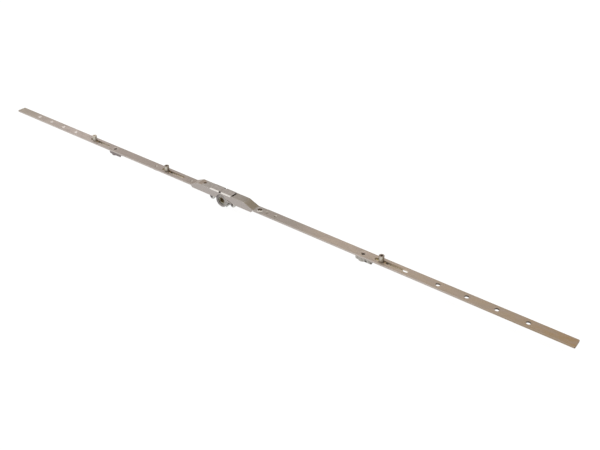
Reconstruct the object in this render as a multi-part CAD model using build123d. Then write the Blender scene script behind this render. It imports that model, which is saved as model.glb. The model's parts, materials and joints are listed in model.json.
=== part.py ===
from build123d import *
from math import acos, atan2, ceil, cos, pi, radians, sin, sqrt, tan
import os

# Window espagnolette, lying with its faceplate upward. Millimetres.
# The origin is on the spindle axis at the middle of the width. X runs along the faceplate, Y across it
# and +Z out of its face. Everything is drawn with the drive rod at the left end of its travel.

# Faceplate strips
faceplate_width = 16.0
faceplate_thickness = 2.5
backset = 7.5                       # spindle axis to the faceplate's outer face
left_reach = 524.0                  # spindle axis to the left end
right_reach = 566.0                 # spindle axis to the right end
end_corner_radius = 1.5
arm_hole_diameter = 6.5
arm_hole_count = 4
left_arm_hole_margin = 57.0         # left end to the first hole
left_arm_hole_pitch = 35.0
right_arm_hole_margin = 62.0
right_arm_hole_pitch = 42.0

# Rack and pinion
pinion_teeth = 12
tooth_pitch = 6.0
pressure_angle = 20.0
rack_addendum = 0.96                # how far the rack reaches inside the pitch line
pinion_addendum = 1.44
root_clearance = 0.3
tooth_backlash = 0.16
strokes_in_teeth = 6                # teeth passed in the full travel, half a turn here
journal_diameter = 13.0
journal_recess = 1.6                # journal ends inside the bosses' faces
spindle_square = 7.0
journal_clearance = 0.05            # radial
flank_chords = 4                    # straight lines that follow one flank's involute
pinion_side_clearance = 0.25

# Drive rod
rod_width = 8.6
rod_thickness = 2.2
rod_clearance = 0.1                 # under the faceplates
rod_left_overhang = 35.5            # beyond the left cam
rod_right_overhang = 34.0           # beyond the right cam
rod_end_radius = 2.0
rack_foot = 4.0                     # straight end of the rack beyond each crank
hook_neck_length = 2.0              # T-shaped tongues that join the rack to the rods
hook_neck_width = 3.0
hook_head_length = 2.5
hook_head_width = 4.6
hook_land = 1.5                     # rod metal beyond the tongue
rack_side_clearance = 0.25
rack_window_side_clearance = 0.3
rack_end_land = 2.1
crank_run = 10.0
crank_inner_radius = 1.2
neck_side_clearance = 0.25
neck_margin = 2.0
slot_play = 0.3                     # round a shank in a rod slot, each side
slot_end_play = 2.0

# Gear housing
housing_wall = 2.25
roof_thickness = 1.2
roof_clearance = 0.6                # over the rack
roof_left_margin = 4.0              # flat roof beyond the rack
left_ramp = 16.0
right_ramp = 17.6
wall_drop = 3.1                     # side walls below the faceplates' inner face
wall_end_slope = 3.0
right_flange = 18.4
flange_hole_offset = 8.9
boss_arch_gap = 0.3                 # between the bearing bosses and the side walls, radial
tongue_thickness = 1.2
left_tongue = 14.0
right_tongue = 26.0
roof_hole_diameter = 4.6
roof_hole_offset = 9.4              # from the left end of the flat roof
ramp_round = 3.0
housing_edge_chamfer = 0.5

# Cover plate let into the roof
cover_left = -24.0
cover_length = 43.0
cover_gap = 3.0                     # open cross gap at the right end
cover_bevel_width = 2.4
cover_bevel_depth = 0.8
cover_notch_place = -2.5
cover_notch_width = 3.0
cover_nib_step = 0.9                # nib inside the housing's side and top faces
cover_fit = 0.05

# Cheeks and handle screws
cheek_thickness = 1.7
cheek_gap_to_rack = 0.3
cheek_foot = 1.5                    # height of the lower edge above the spindle axis
bearing_boss_diameter = 21.4        # flush with the housing's sides
handle_screw_spacing = 43.0
handle_screw_tap_drill = 4.2
lug_diameter = 10.4
cheek_end_margin = 0.8
cheek_tab_length = 4.0              # tabs that are pressed into pockets of the side walls
cheek_tab_height = 2.5
cheek_tab_reach = 1.2
cheek_tab_inset = 1.0
cheek_tab_drop = 2.2

# Rivets of the faceplates
lap_rivet_diameter = 4.6
left_lap_rivet_offset = 5.5         # from the left ramp's foot
right_lap_rivet_offsets = (4.0, 21.0)
guide_rivet_diameter = 4.0
guide_foot_length = 8.0
guide_foot_width = 8.0
guide_foot_thickness = 1.2
guide_rivet_to_cam = 24.0
running_gap = 0.3                   # under the rod, at its guides

# Cams: an eccentric pin riveted in the rod so that it can be turned, and a roller on the pin
left_cam_place = -309.5
middle_cam_place = -128.5
right_cam_place = 289.4
cam_slot_width = 5.4
cam_slot_lead = 9.5                 # slot beyond the cam's axis at the left end of travel
cam_slot_tail = 4.5                 # the same at the right end
right_slot_tail = 7.3               # longer in the right strip
cam_height = 9.0                    # above the faceplate
cam_shank_diameter = 4.8
cam_shank_clearance = 0.05          # radial
cam_eccentricity = 0.75             # roller's axis beyond the shank's, towards +X in the neutral setting
eccentric_diameter = 5.8
roller_diameter = 8.0
roller_clearance = 0.05             # radial
roller_gap = 0.3                    # between roller and faceplate
roller_head_diameter = 6.8
hexagon_across_flats = 4.0
hexagon_depth = 3.0

# Screw supports under the fixing holes
fixing_hole_diameter = 4.2
fixing_head_diameter = 8.0
left_fixing_to_cam = 54.5
right_fixing_to_cam = 28.8
support_length = 27.6
support_screw_offset = 9.4          # from the left end of the support
support_wall = 1.15
support_floor = 1.5
support_skirt = 2.4                 # walls below the floor
support_taper = 1.0
support_rib = 1.2
screw_boss_diameter = 14.0          # bulges out of the support's walls
screw_boss_drop = 3.2               # below the floor
support_tab_length = 3.0
support_tab_inset = 1.0
tab_fit = 0.05

# Working sizes
beyond = 1.0                        # how far a cut runs past the material
touch = 0.01                        # how near counts as the same place when edges are picked

# Levels
plate_top = backset
plate_bottom = plate_top - faceplate_thickness
rod_top = plate_bottom - rod_clearance
rod_bottom = rod_top - rod_thickness
pitch_radius = pinion_teeth * tooth_pitch / (2 * pi)
tip_radius = pitch_radius + pinion_addendum
rack_bottom = pitch_radius - rack_addendum
rack_top = rack_bottom + rod_thickness
root_radius = rack_bottom - root_clearance
roof_underside = rack_top + roof_clearance
roof_top = roof_underside + roof_thickness
cheek_top = rack_bottom - cheek_gap_to_rack
wall_foot = plate_bottom - wall_drop
tongue_top = plate_bottom + tongue_thickness
guide_level = rod_bottom - running_gap
roller_foot = plate_top + roller_gap
cam_top = plate_top + cam_height
head_depth = (roller_head_diameter - eccentric_diameter) / 2

# Widths
half_width = faceplate_width / 2
cavity_half = half_width - housing_wall
cheek_inner = cavity_half - cheek_thickness
pinion_half = cheek_inner - pinion_side_clearance
rack_half = cavity_half - rack_side_clearance
neck_half = cheek_inner - neck_side_clearance
window_half = pinion_half + rack_window_side_clearance
journal_end = half_width - journal_recess
support_inner = rod_width / 2 + running_gap
support_half = support_inner + support_wall

# Places along X
stroke = strokes_in_teeth * tooth_pitch
mesh_reach = sqrt(tip_radius ** 2 - rack_bottom ** 2)
flank_lean = tan(radians(pressure_angle))
window_half_length = tooth_pitch / 4 + tooth_backlash / 4 + rack_addendum * flank_lean
windows_left = ceil((stroke + mesh_reach - window_half_length) / tooth_pitch)
windows_right = ceil((mesh_reach - window_half_length) / tooth_pitch)
rack_left = -windows_left * tooth_pitch - window_half_length - rack_end_land
rack_right = windows_right * tooth_pitch + window_half_length + rack_end_land
roof_left = rack_left - roof_left_margin
roof_right = rack_right + stroke
left_foot = roof_left - left_ramp
right_foot = roof_right + right_ramp
flange_end = right_foot + right_flange
cheek_half_length = handle_screw_spacing / 2 + lug_diameter / 2 + cheek_end_margin
left_joint = rack_left - crank_run - rack_foot
right_joint = rack_right + crank_run + rack_foot
hook_length = hook_neck_length + hook_head_length
neck_left = min(left_joint - hook_length - hook_land, -cheek_half_length - stroke - neck_margin)
neck_right = max(right_joint + hook_length + hook_land, cheek_half_length + neck_margin)
cam_places = {"left": left_cam_place, "middle": middle_cam_place, "right": right_cam_place}
left_fixing = left_cam_place + left_fixing_to_cam
right_fixing = right_cam_place - right_fixing_to_cam
flange_fixing = right_foot + flange_hole_offset
guide_place = middle_cam_place - guide_rivet_to_cam
rod_left = left_cam_place - rod_left_overhang
rod_right = right_cam_place + rod_right_overhang


def block(x0, x1, y0, y1, z0, z1):
    """Straight block between two corners."""
    centre = Pos((x0 + x1) / 2, (y0 + y1) / 2, (z0 + z1) / 2)
    return centre * Box(x1 - x0, y1 - y0, z1 - z0)


def upright(x, y, z0, z1, diameter):
    """Cylinder along Z."""
    return Pos(x, y, (z0 + z1) / 2) * Cylinder(diameter / 2, z1 - z0)


def crosswise(x, z, y0, y1, diameter):
    """Cylinder along Y."""
    return Pos(x, (y0 + y1) / 2, z) * Rot(90, 0, 0) * Cylinder(diameter / 2, y1 - y0)


def countersunk(x, shank, head, z0, z1):
    """Shank along Z with a 90 degree head flush at its top."""
    depth = (head - shank) / 2
    cone = Pos(x, 0, z1 - depth / 2) * Cone(shank / 2, head / 2, depth)
    return upright(x, 0, z0, z1, shank) + cone


def across(points, y0, y1, rounds=()):
    """Closed side outline in X and Z, drawn across from y0 to y1. rounds gives (corner, radius) pairs."""
    face = make_face(Polyline(points, close=True))
    for corner, radius in rounds:
        vertex = face.vertices().sort_by_distance((points[corner][0], points[corner][1], 0))[0]
        face = fillet(vertex, radius)
    return Pos(0, y1, 0) * Rot(90, 0, 0) * extrude(face, y1 - y0)


def lap_rivet(x):
    """One flush rivet through faceplate and tongue."""
    return upright(x, 0, plate_bottom, plate_top, lap_rivet_diameter)


def arm_holes(first, pitch):
    """Row of plain holes near the end of a faceplate strip."""
    places = [first + pitch * i for i in range(arm_hole_count)]
    return [upright(x, 0, plate_bottom, plate_top, arm_hole_diameter) for x in places]


def cam_slot(x, tail):
    """Slot with round ends in the faceplate for one cam, over its whole travel."""
    x0 = x - cam_slot_lead
    x1 = x + stroke + tail
    outline = Pos((x0 + x1) / 2, 0, plate_bottom) * SlotOverall(x1 - x0, cam_slot_width)
    return extrude(outline, faceplate_thickness)


def fixing_hole(x):
    """Countersunk hole for a fixing screw."""
    return countersunk(x, fixing_hole_diameter, fixing_head_diameter, plate_bottom, plate_top)


def support_tabs(screw_x, play):
    """Tabs of one screw support, or with play the slots for them in the faceplate."""
    x0 = screw_x - support_screw_offset
    x1 = x0 + support_length
    tabs = []
    for start in (x0 + support_tab_inset, x1 - support_tab_inset - support_tab_length):
        for side in (-1, 1):
            inner, outer = sorted((side * (support_inner - play), side * (support_half + play)))
            end = start + support_tab_length
            tabs.append(block(start - play, end + play, inner, outer, plate_bottom, plate_top))
    return tabs


def strip(x0, x1):
    """Plain faceplate strip."""
    return block(x0, x1, -half_width, half_width, plate_bottom, plate_top)


def lap(x0, x1):
    """Lower part of the full width, where a faceplate strip gives way to the housing's tongue."""
    return block(x0, x1, -half_width, half_width, plate_bottom, tongue_top)


def faceplate_left():
    """Left strip, thinned from below where it laps over the housing's tongue."""
    plate = strip(-left_reach, left_foot)
    outer_corners = plate.edges().filter_by(Axis.Z).sort_by(Axis.X)[:2]
    plate = fillet(outer_corners, end_corner_radius) - lap(left_foot - left_tongue, left_foot)
    for hole in arm_holes(-left_reach + left_arm_hole_margin, left_arm_hole_pitch):
        plate -= hole
    for name in ("left", "middle"):
        plate -= cam_slot(cam_places[name], cam_slot_tail)
    plate -= fixing_hole(left_fixing)
    plate -= upright(guide_place, 0, plate_bottom, plate_top, guide_rivet_diameter)
    plate -= lap_rivet(left_foot - left_lap_rivet_offset)
    for tab in support_tabs(left_fixing, tab_fit):
        plate -= tab
    return plate


def faceplate_right():
    """Right strip, thinned from below where it laps over the housing's long tongue."""
    plate = strip(flange_end, right_reach)
    outer_corners = plate.edges().filter_by(Axis.Z).sort_by(Axis.X)[-2:]
    plate = fillet(outer_corners, end_corner_radius) - lap(flange_end, flange_end + right_tongue)
    last = right_reach - right_arm_hole_margin
    for hole in arm_holes(last, -right_arm_hole_pitch):
        plate -= hole
    plate -= cam_slot(right_cam_place, right_slot_tail)
    plate -= fixing_hole(right_fixing)
    for offset in right_lap_rivet_offsets:
        plate -= lap_rivet(flange_end + offset)
    for tab in support_tabs(right_fixing, tab_fit):
        plate -= tab
    return plate


def housing_blank():
    """Outer form: a bulge with sloping ends, side walls below the faceplates and a flush right flange."""
    outline = [
        (left_foot, plate_bottom),
        (left_foot, plate_top),
        (roof_left, roof_top),
        (roof_right, roof_top),
        (right_foot, plate_top),
        (flange_end, plate_top),
        (flange_end, plate_bottom),
        (right_foot, plate_bottom),
        (right_foot - wall_end_slope, wall_foot),
        (left_foot + wall_end_slope, wall_foot),
    ]
    rounds = [(corner, ramp_round) for corner in (2, 3, 4)]
    blank = across(outline, -half_width, half_width, rounds)
    sides = blank.edges().filter_by(lambda edge: abs(abs(edge.center().Y) - half_width) < touch)
    upper = sides.filter_by(lambda edge: edge.center().Z > plate_top + touch)
    return chamfer(upper, housing_edge_chamfer)


def cavity():
    """Room inside the housing for rack, pinion and cheeks, open below."""
    left_slope = (roof_top - plate_top) / left_ramp
    right_slope = (roof_top - plate_top) / right_ramp
    left_drop = roof_thickness * sqrt(1 + left_slope ** 2)
    right_drop = roof_thickness * sqrt(1 + right_slope ** 2)
    left_end = left_foot + wall_end_slope / 2
    right_end = right_foot - wall_end_slope / 2
    outline = [
        (left_foot - beyond, wall_foot - beyond),
        (left_foot - beyond, plate_bottom),
        (left_end, plate_bottom),
        (left_end, plate_top + left_slope * (left_end - left_foot) - left_drop),
        (roof_left + (left_drop - roof_thickness) / left_slope, roof_underside),
        (roof_right - (right_drop - roof_thickness) / right_slope, roof_underside),
        (right_end, plate_top + right_slope * (right_foot - right_end) - right_drop),
        (right_end, plate_bottom),
        (right_foot + beyond, plate_bottom),
        (right_foot + beyond, wall_foot - beyond),
    ]
    return across(outline, -cavity_half, cavity_half)


def cover_notch(side, play, outer, top):
    """Notch in one long edge of the cover or, with less reach, the nib that stands in it."""
    y0, y1 = sorted((side * (cavity_half - play), side * outer))
    x0 = cover_notch_place - cover_notch_width / 2 - play
    x1 = cover_notch_place + cover_notch_width / 2 + play
    return block(x0, x1, y0, y1, roof_underside, top)


def cover_seat():
    """Let-in seat for the cover plate, with a nib left standing on each side wall."""
    right = cover_left + cover_length
    seat = block(cover_left, right, -half_width, half_width, roof_underside, roof_top)
    for side in (-1, 1):
        seat -= cover_notch(side, 0.0, half_width - cover_nib_step, roof_top - cover_nib_step)
    return seat


def gear_housing():
    """Die-cast housing with a tongue under each faceplate strip."""
    housing = housing_blank() - cavity()
    seat_right = cover_left + cover_length
    gap_end = seat_right + cover_gap
    housing -= block(cover_left, gap_end, -cavity_half, cavity_half, roof_underside, roof_top)
    housing -= cover_seat()
    housing -= upright(roof_left + roof_hole_offset, 0, roof_underside, roof_top, roof_hole_diameter)
    housing -= fixing_hole(flange_fixing)
    housing -= crosswise(0, 0, -half_width, half_width, bearing_boss_diameter + 2 * boss_arch_gap)
    tongues = lap(left_foot - left_tongue, left_foot) + lap(flange_end, flange_end + right_tongue)
    for x in lap_rivet_places():
        tongues -= lap_rivet(x)
    for side in (-1, 1):
        for tab in cheek_tabs(side):
            housing -= tab
    return housing + tongues


def gear_cover():
    """Pressed cover plate with bevelled long edges and a notch halfway along each."""
    x0 = cover_left + cover_fit
    x1 = cover_left + cover_length
    cover = block(x0, x1, -half_width, half_width, roof_underside, roof_top)
    for side in (-1, 1):
        inner = (side * (half_width - cover_bevel_width), roof_top)
        lower = (side * half_width, roof_top - cover_bevel_depth)
        corner = (side * half_width, roof_top)
        bevel = make_face(Polyline([inner, lower, corner], close=True))
        cover -= Pos(x0, 0, 0) * Rot(90, 0, 90) * extrude(bevel, x1 - x0)
        cover -= cover_notch(side, cover_fit, half_width, roof_top)
    return cover


def cheek_tabs(side):
    """The two tabs of one cheek that are pressed into pockets of its side wall."""
    y0, y1 = sorted((side * cavity_half, side * (cavity_half + cheek_tab_reach)))
    z1 = cheek_top - cheek_tab_drop
    x1 = cheek_half_length - cheek_tab_inset
    x0 = x1 - cheek_tab_length
    spans = ((-x1, -x0), (x0, x1))
    return [block(start, end, y0, y1, z1 - cheek_tab_height, z1) for start, end in spans]


def cheek(side):
    """Plate with the pinion's bearing boss, flush outside, and two tapped lugs for the handle screws."""
    y0, y1 = sorted((side * cheek_inner, side * cavity_half))
    plate = block(-cheek_half_length, cheek_half_length, y0, y1, cheek_foot, cheek_top)
    boss_y0, boss_y1 = sorted((side * cheek_inner, side * half_width))
    boss_radius = bearing_boss_diameter / 2
    boss = crosswise(0, 0, boss_y0, boss_y1, bearing_boss_diameter)
    plate += boss - block(-boss_radius, boss_radius, y0, y1, cheek_top, cheek_top + boss_radius)
    for sign in (-1, 1):
        x = sign * handle_screw_spacing / 2
        plate += crosswise(x, 0, y0, y1, lug_diameter)
        plate += block(x - lug_diameter / 2, x + lug_diameter / 2, y0, y1, 0, cheek_foot)
    for sign in (-1, 1):
        plate -= crosswise(sign * handle_screw_spacing / 2, 0, y0, y1, handle_screw_tap_drill)
    plate -= crosswise(0, 0, boss_y0, boss_y1, journal_diameter + 2 * journal_clearance)
    for tab in cheek_tabs(side):
        plate += tab
    return plate


def involute_angle(radius, base_radius):
    """Polar angle that the involute has turned at this radius."""
    angle = acos(min(1.0, base_radius / radius))
    return tan(angle) - angle


def pinion_outline():
    """Involute teeth, one of them pointing straight up into the rack's window."""
    base_radius = pitch_radius * cos(radians(pressure_angle))
    flank_start = max(base_radius, root_radius)
    thickness = tooth_pitch / 2 - tooth_backlash / 2
    half_at_base = thickness / (2 * pitch_radius) + involute_angle(pitch_radius, base_radius)

    def half_angle(radius):
        return half_at_base - involute_angle(radius, base_radius)

    def at(radius, angle):
        return (radius * cos(angle), radius * sin(angle))

    step = 2 * pi / pinion_teeth
    rise = (tip_radius - flank_start) / flank_chords
    radii = [flank_start + rise * i for i in range(flank_chords + 1)]
    outline = []
    for tooth in range(pinion_teeth):
        axis = pi / 2 + tooth * step
        outline.append(at(root_radius, axis - half_at_base))
        outline += [at(radius, axis - half_angle(radius)) for radius in radii]
        outline += [at(radius, axis + half_angle(radius)) for radius in reversed(radii)]
        outline.append(at(root_radius, axis + half_at_base))
    return make_face(Polyline(outline, close=True))


def pinion():
    """Toothed disc with a journal each side and a square hole for the handle spindle."""
    disc = extrude(pinion_outline(), 2 * pinion_half)
    gear = Pos(0, pinion_half, 0) * Rot(90, 0, 0) * disc
    gear += crosswise(0, 0, -journal_end, journal_end, journal_diameter)
    half_square = spindle_square / 2
    gear -= block(-half_square, half_square, -journal_end, journal_end, -half_square, half_square)
    return gear


def rack_side():
    """Side view of the rack: straight feet at the rods' level, cranked up over the pinion."""
    rise = rack_bottom - rod_bottom
    miter = rod_thickness / 2 * tan(atan2(rise, crank_run) / 2)
    outer = crank_inner_radius + rod_thickness
    points = [
        (left_joint, rod_bottom),
        (rack_left - crank_run + miter, rod_bottom),
        (rack_left + miter, rack_bottom),
        (rack_right - miter, rack_bottom),
        (rack_right + crank_run - miter, rod_bottom),
        (right_joint, rod_bottom),
        (right_joint, rod_top),
        (rack_right + crank_run + miter, rod_top),
        (rack_right + miter, rack_top),
        (rack_left - miter, rack_top),
        (rack_left - crank_run - miter, rod_top),
        (left_joint, rod_top),
    ]
    inner_bends = [(corner, crank_inner_radius) for corner in (2, 3, 7, 10)]
    outer_bends = [(corner, outer) for corner in (1, 4, 8, 9)]
    return across(points, -rack_half, rack_half, inner_bends + outer_bends)


def hook(joint, direction):
    """T-shaped tongue of the rack, flush in the rod beyond the joint."""
    neck_end = joint + direction * hook_neck_length
    head_end = neck_end + direction * hook_head_length
    tongue = None
    for start, end, width in ((joint, neck_end, hook_neck_width), (neck_end, head_end, hook_head_width)):
        x0, x1 = sorted((start, end))
        piece = block(x0, x1, -width / 2, width / 2, rod_bottom, rod_top)
        tongue = piece if tongue is None else tongue + piece
    return tongue


def rack_window(x):
    """Punched window with flanks that a pinion tooth rolls on."""
    low, high = rack_bottom - beyond, rack_top + beyond
    half = tooth_pitch / 4 + tooth_backlash / 4
    low_half = half - (low - pitch_radius) * flank_lean
    high_half = half - (high - pitch_radius) * flank_lean
    outline = [(x - low_half, low), (x + low_half, low), (x + high_half, high), (x - high_half, high)]
    return across(outline, -window_half, window_half)


def rack():
    """Cranked middle piece of the drive rod, with a row of windows for the pinion's teeth."""
    neck = block(left_joint, right_joint, -neck_half, neck_half, rod_bottom, rack_top)
    wide = block(rack_left, rack_right, -rack_half, rack_half, rod_bottom, rack_top)
    piece = rack_side() & (neck + wide)
    for i in range(-windows_left, windows_right + 1):
        piece -= rack_window(i * tooth_pitch)
    return piece + hook(left_joint, -1) + hook(right_joint, 1)


def travel_slot(x, shank):
    """Slot in a rod for a shank that stands still at x while the rod travels."""
    reach = shank / 2 + slot_play + slot_end_play
    half = shank / 2 + slot_play
    return block(x - stroke - reach, x + reach, -half, half, rod_bottom, rod_top)


def rod_strip(outer_end, neck_end, joint):
    """Straight strip with a rounded outer end, narrower where it passes between the cheeks."""
    x0, x1 = sorted((outer_end, neck_end))
    wide = block(x0, x1, -rod_width / 2, rod_width / 2, rod_bottom, rod_top)
    corners = wide.edges().filter_by(Axis.Z).sort_by(Axis.X, reverse=outer_end > joint)[:2]
    x0, x1 = sorted((neck_end, joint))
    return fillet(corners, rod_end_radius) + block(x0, x1, -neck_half, neck_half, rod_bottom, rod_top)


def pin_seat(x):
    """Hole in a rod for one cam's pin."""
    return upright(x, 0, rod_bottom, rod_top, cam_shank_diameter + 2 * cam_shank_clearance)


def drive_rod_left():
    """Rod that carries the left and middle cams."""
    rod = rod_strip(rod_left, neck_left, left_joint) - hook(left_joint, -1)
    rod -= travel_slot(left_fixing, fixing_hole_diameter)
    rod -= travel_slot(guide_place, guide_rivet_diameter)
    return rod - pin_seat(left_cam_place) - pin_seat(middle_cam_place)


def drive_rod_right():
    """Rod that carries the right cam."""
    rod = rod_strip(rod_right, neck_right, right_joint) - hook(right_joint, 1)
    for x in (right_fixing, flange_fixing):
        rod -= travel_slot(x, fixing_hole_diameter)
    return rod - pin_seat(right_cam_place)


def flared(x, play):
    """Journal of an eccentric pin with its flared head, or with play the room for it in the roller."""
    radius = eccentric_diameter / 2 + play
    flare = Pos(x, 0, cam_top - head_depth / 2) * Cone(radius, radius + head_depth, head_depth)
    return upright(x, 0, roller_foot, cam_top, 2 * radius) + flare


def cam_pin(x):
    """Pin riveted in the rod, with an eccentric journal and a hexagon recess in its flared head."""
    roller_x = x + cam_eccentricity
    pin = upright(x, 0, rod_bottom, roller_foot, cam_shank_diameter)
    pin += flared(roller_x, 0.0)
    hexagon = RegularPolygon(hexagon_across_flats / 2, 6, major_radius=False)
    return pin - extrude(Pos(roller_x, 0, cam_top - hexagon_depth) * hexagon, hexagon_depth)


def cam_roller(x):
    """Roller that turns on the eccentric journal, between the faceplate and the pin's flared head."""
    roller_x = x + cam_eccentricity
    roller = upright(roller_x, 0, roller_foot, cam_top, roller_diameter)
    return roller - flared(roller_x, roller_clearance)


def screw_support(screw_x):
    """Block under the faceplate that the rod slides through, with a boss for the fixing screw."""
    x0 = screw_x - support_screw_offset
    x1 = x0 + support_length
    floor_bottom = guide_level - support_floor
    skirt_bottom = floor_bottom - support_skirt
    outline = [
        (x0, plate_bottom),
        (x0, floor_bottom),
        (x0 + support_taper, skirt_bottom),
        (x1 - support_taper, skirt_bottom),
        (x1, floor_bottom),
        (x1, plate_bottom),
    ]
    support = across(outline, -support_half, support_half)
    support -= block(x0, x1, -support_inner, support_inner, skirt_bottom, floor_bottom)
    rib_ends = (x0 + support_taper, x1 - support_taper)
    support += block(*rib_ends, -support_rib / 2, support_rib / 2, skirt_bottom, floor_bottom)
    boss_foot = floor_bottom - screw_boss_drop
    support += upright(screw_x, 0, boss_foot, plate_bottom, screw_boss_diameter)
    support -= block(x0, x1, -support_inner, support_inner, guide_level, plate_bottom)
    support -= upright(screw_x, 0, boss_foot, guide_level, fixing_hole_diameter)
    for tab in support_tabs(screw_x, 0.0):
        support += tab
    return support


def lap_rivet_places():
    """Places along X of the rivets that join the faceplate strips to the housing's tongues."""
    return [left_foot - left_lap_rivet_offset] + [flange_end + offset for offset in right_lap_rivet_offsets]


def lap_rivets():
    """The flush rivets of both tongues."""
    return Compound(children=[lap_rivet(x) for x in lap_rivet_places()])


def guide_rivet():
    """Rivet through a slot of the rod; its foot keeps the rod up against the faceplate."""
    half_length, half_foot = guide_foot_length / 2, guide_foot_width / 2
    x0, x1 = guide_place - half_length, guide_place + half_length
    foot = block(x0, x1, -half_foot, half_foot, guide_level - guide_foot_thickness, guide_level)
    return foot + upright(guide_place, 0, guide_level, plate_top, guide_rivet_diameter)


nodes = {
    "faceplate_left": faceplate_left(),
    "faceplate_right": faceplate_right(),
    "gear_housing": gear_housing(),
    "gear_cover": gear_cover(),
    "cheek_near": cheek(-1),
    "cheek_far": cheek(1),
    "lap_rivets": lap_rivets(),
    "guide_rivet": guide_rivet(),
    "screw_support_left": screw_support(left_fixing),
    "screw_support_right": screw_support(right_fixing),
    "rack": rack(),
    "drive_rod_left": drive_rod_left(),
    "drive_rod_right": drive_rod_right(),
    "pinion": pinion(),
}
for name, place in cam_places.items():
    nodes["cam_pin_" + name] = cam_pin(place)
    nodes["cam_roller_" + name] = cam_roller(place)

os.makedirs("parts", exist_ok=True)
for name, shape in nodes.items():
    export_step(shape, f"parts/{name}.step")
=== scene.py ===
import json
from math import radians

import bmesh
import bpy
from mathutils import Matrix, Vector

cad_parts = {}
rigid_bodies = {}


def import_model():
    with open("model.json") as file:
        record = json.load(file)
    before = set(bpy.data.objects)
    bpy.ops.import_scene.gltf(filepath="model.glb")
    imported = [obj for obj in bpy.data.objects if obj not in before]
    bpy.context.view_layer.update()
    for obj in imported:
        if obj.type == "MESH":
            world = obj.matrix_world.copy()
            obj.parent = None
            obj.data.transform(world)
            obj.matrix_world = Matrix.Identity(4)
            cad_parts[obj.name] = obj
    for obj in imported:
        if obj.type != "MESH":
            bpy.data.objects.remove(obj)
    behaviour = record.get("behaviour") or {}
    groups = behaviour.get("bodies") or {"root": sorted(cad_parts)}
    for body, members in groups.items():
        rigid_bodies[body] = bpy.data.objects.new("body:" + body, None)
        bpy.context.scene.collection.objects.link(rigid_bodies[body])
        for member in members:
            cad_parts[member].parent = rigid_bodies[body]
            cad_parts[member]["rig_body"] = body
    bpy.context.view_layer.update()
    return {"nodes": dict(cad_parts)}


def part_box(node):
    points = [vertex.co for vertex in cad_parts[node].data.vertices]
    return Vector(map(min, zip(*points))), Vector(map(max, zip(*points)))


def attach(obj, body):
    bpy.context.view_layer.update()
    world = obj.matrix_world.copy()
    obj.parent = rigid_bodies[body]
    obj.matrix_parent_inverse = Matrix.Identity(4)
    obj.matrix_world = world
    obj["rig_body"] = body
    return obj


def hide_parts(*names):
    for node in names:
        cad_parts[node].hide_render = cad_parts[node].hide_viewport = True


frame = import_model()

# A window espagnolette lying with its faceplate upward. Metres, in the frame of the CAD model: X
# runs along the faceplate, Y across it and +Z out of its face, and the origin is on the
# spindle's axis.


# Faceplates. Two strips of cold-rolled steel, slit, punched, zinc plated and passivated. The film
# is pinkish silver at the left and tan at the right end, and thin on the slit edges. Painted shade
# darkens the hole walls of the right arm and the seats of the fixing holes. Painted light brightens
# the hole walls of the left arm and the punched walls between 300 and 350 mm, and a painted
# highlight lies along both long edges of the top and in a faint ring round each fixing hole.
WARM_ZINC = (0.440, 0.385, 0.320, 1.0)
PALE_ZINC = (0.560, 0.490, 0.450, 1.0)
GREY_ZINC = (0.415, 0.360, 0.325, 1.0)
DULL_ZINC = (0.365, 0.327, 0.290, 1.0)
TAN_ZINC = (0.475, 0.398, 0.330, 1.0)
YELLOW_ZINC = (0.418, 0.327, 0.234, 1.0)
END_ZINC = (0.385, 0.262, 0.140, 1.0)
STRIP_TONES = [         # share of the length from the left end, tone there
    (0.02, WARM_ZINC), (0.13, PALE_ZINC), (0.18, PALE_ZINC), (0.26, GREY_ZINC),
    (0.52, GREY_ZINC), (0.56, DULL_ZINC), (0.60, DULL_ZINC), (0.66, TAN_ZINC),
    (0.72, TAN_ZINC), (0.92, YELLOW_ZINC), (1.0, END_ZINC),
]
BLUSH_ZINC = (0.450, 0.375, 0.365, 1.0)
CLOUD_ZINC = (0.335, 0.290, 0.255, 1.0)
ZINC_HIGHLIGHT = (0.680, 0.650, 0.600, 1.0)
SLIT_ZINC = (0.510, 0.465, 0.435, 1.0)
SLIT_TAN = (0.340, 0.265, 0.190, 1.0)
PUNCHED_ZINC = (0.490, 0.430, 0.350, 1.0)
LIT_SLOT = (0.680, 0.600, 0.490, 1.0)
LIT_WALL = (0.800, 0.740, 0.700, 1.0)
SHADED_WALL = (0.130, 0.100, 0.075, 1.0)
SHADE_AND_MOTTLE_DARK = (0.105, 0.080, 0.060, 1.0)
BLUSH_SHARE = 0.25
CLOUD_SHARE = 0.35
FOOT_SHARE = 0.5
SLIT_SHARE = 0.75
SEAT_SHADE_SHARE = 0.9
EDGE_HIGHLIGHT_SHARE = 0.35

STRIP_LEFT = -0.524
STRIP_LENGTH = 1.09
STRIP_HALF_WIDTH = 0.008
STRIP_TOP = 0.0075
STRIP_EDGE = 0.00025
FACE_LOW = STRIP_TOP - 0.0003
FACE_HIGH = STRIP_TOP - 0.0001
SLIT_LOW = STRIP_HALF_WIDTH - 0.0002
SLIT_HIGH = STRIP_HALF_WIDTH - 0.00005
TURNED_LOW = STRIP_HALF_WIDTH - 0.0006
TURNED_HIGH = STRIP_HALF_WIDTH - 0.0003
LEFT_HOLES_END = -0.350
LEFT_FOOT = -0.070
FOOT_REACH = 0.008
SLOT_PALE_START = 0.300
SLOT_PALE_RUN = 0.008
RIGHT_HOLES_START = 0.350
HOLES_RUN = 0.005
SLIT_TAN_START = 0.36
SLIT_TAN_END = 0.50
FIXING_PLACES = ((-0.255, 0.0030, 0.6), (0.2606, 0.0023, 0.25))     # X, dark radius, rim's shine
FIXING_RIM = 0.0041
RIM_WIDTH = 0.0007
RIM_SOFT = 0.0003
SEAT_IN = 0.0003
SEAT_OUT = 0.0004
CONE_SOFT = 0.0002

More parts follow.
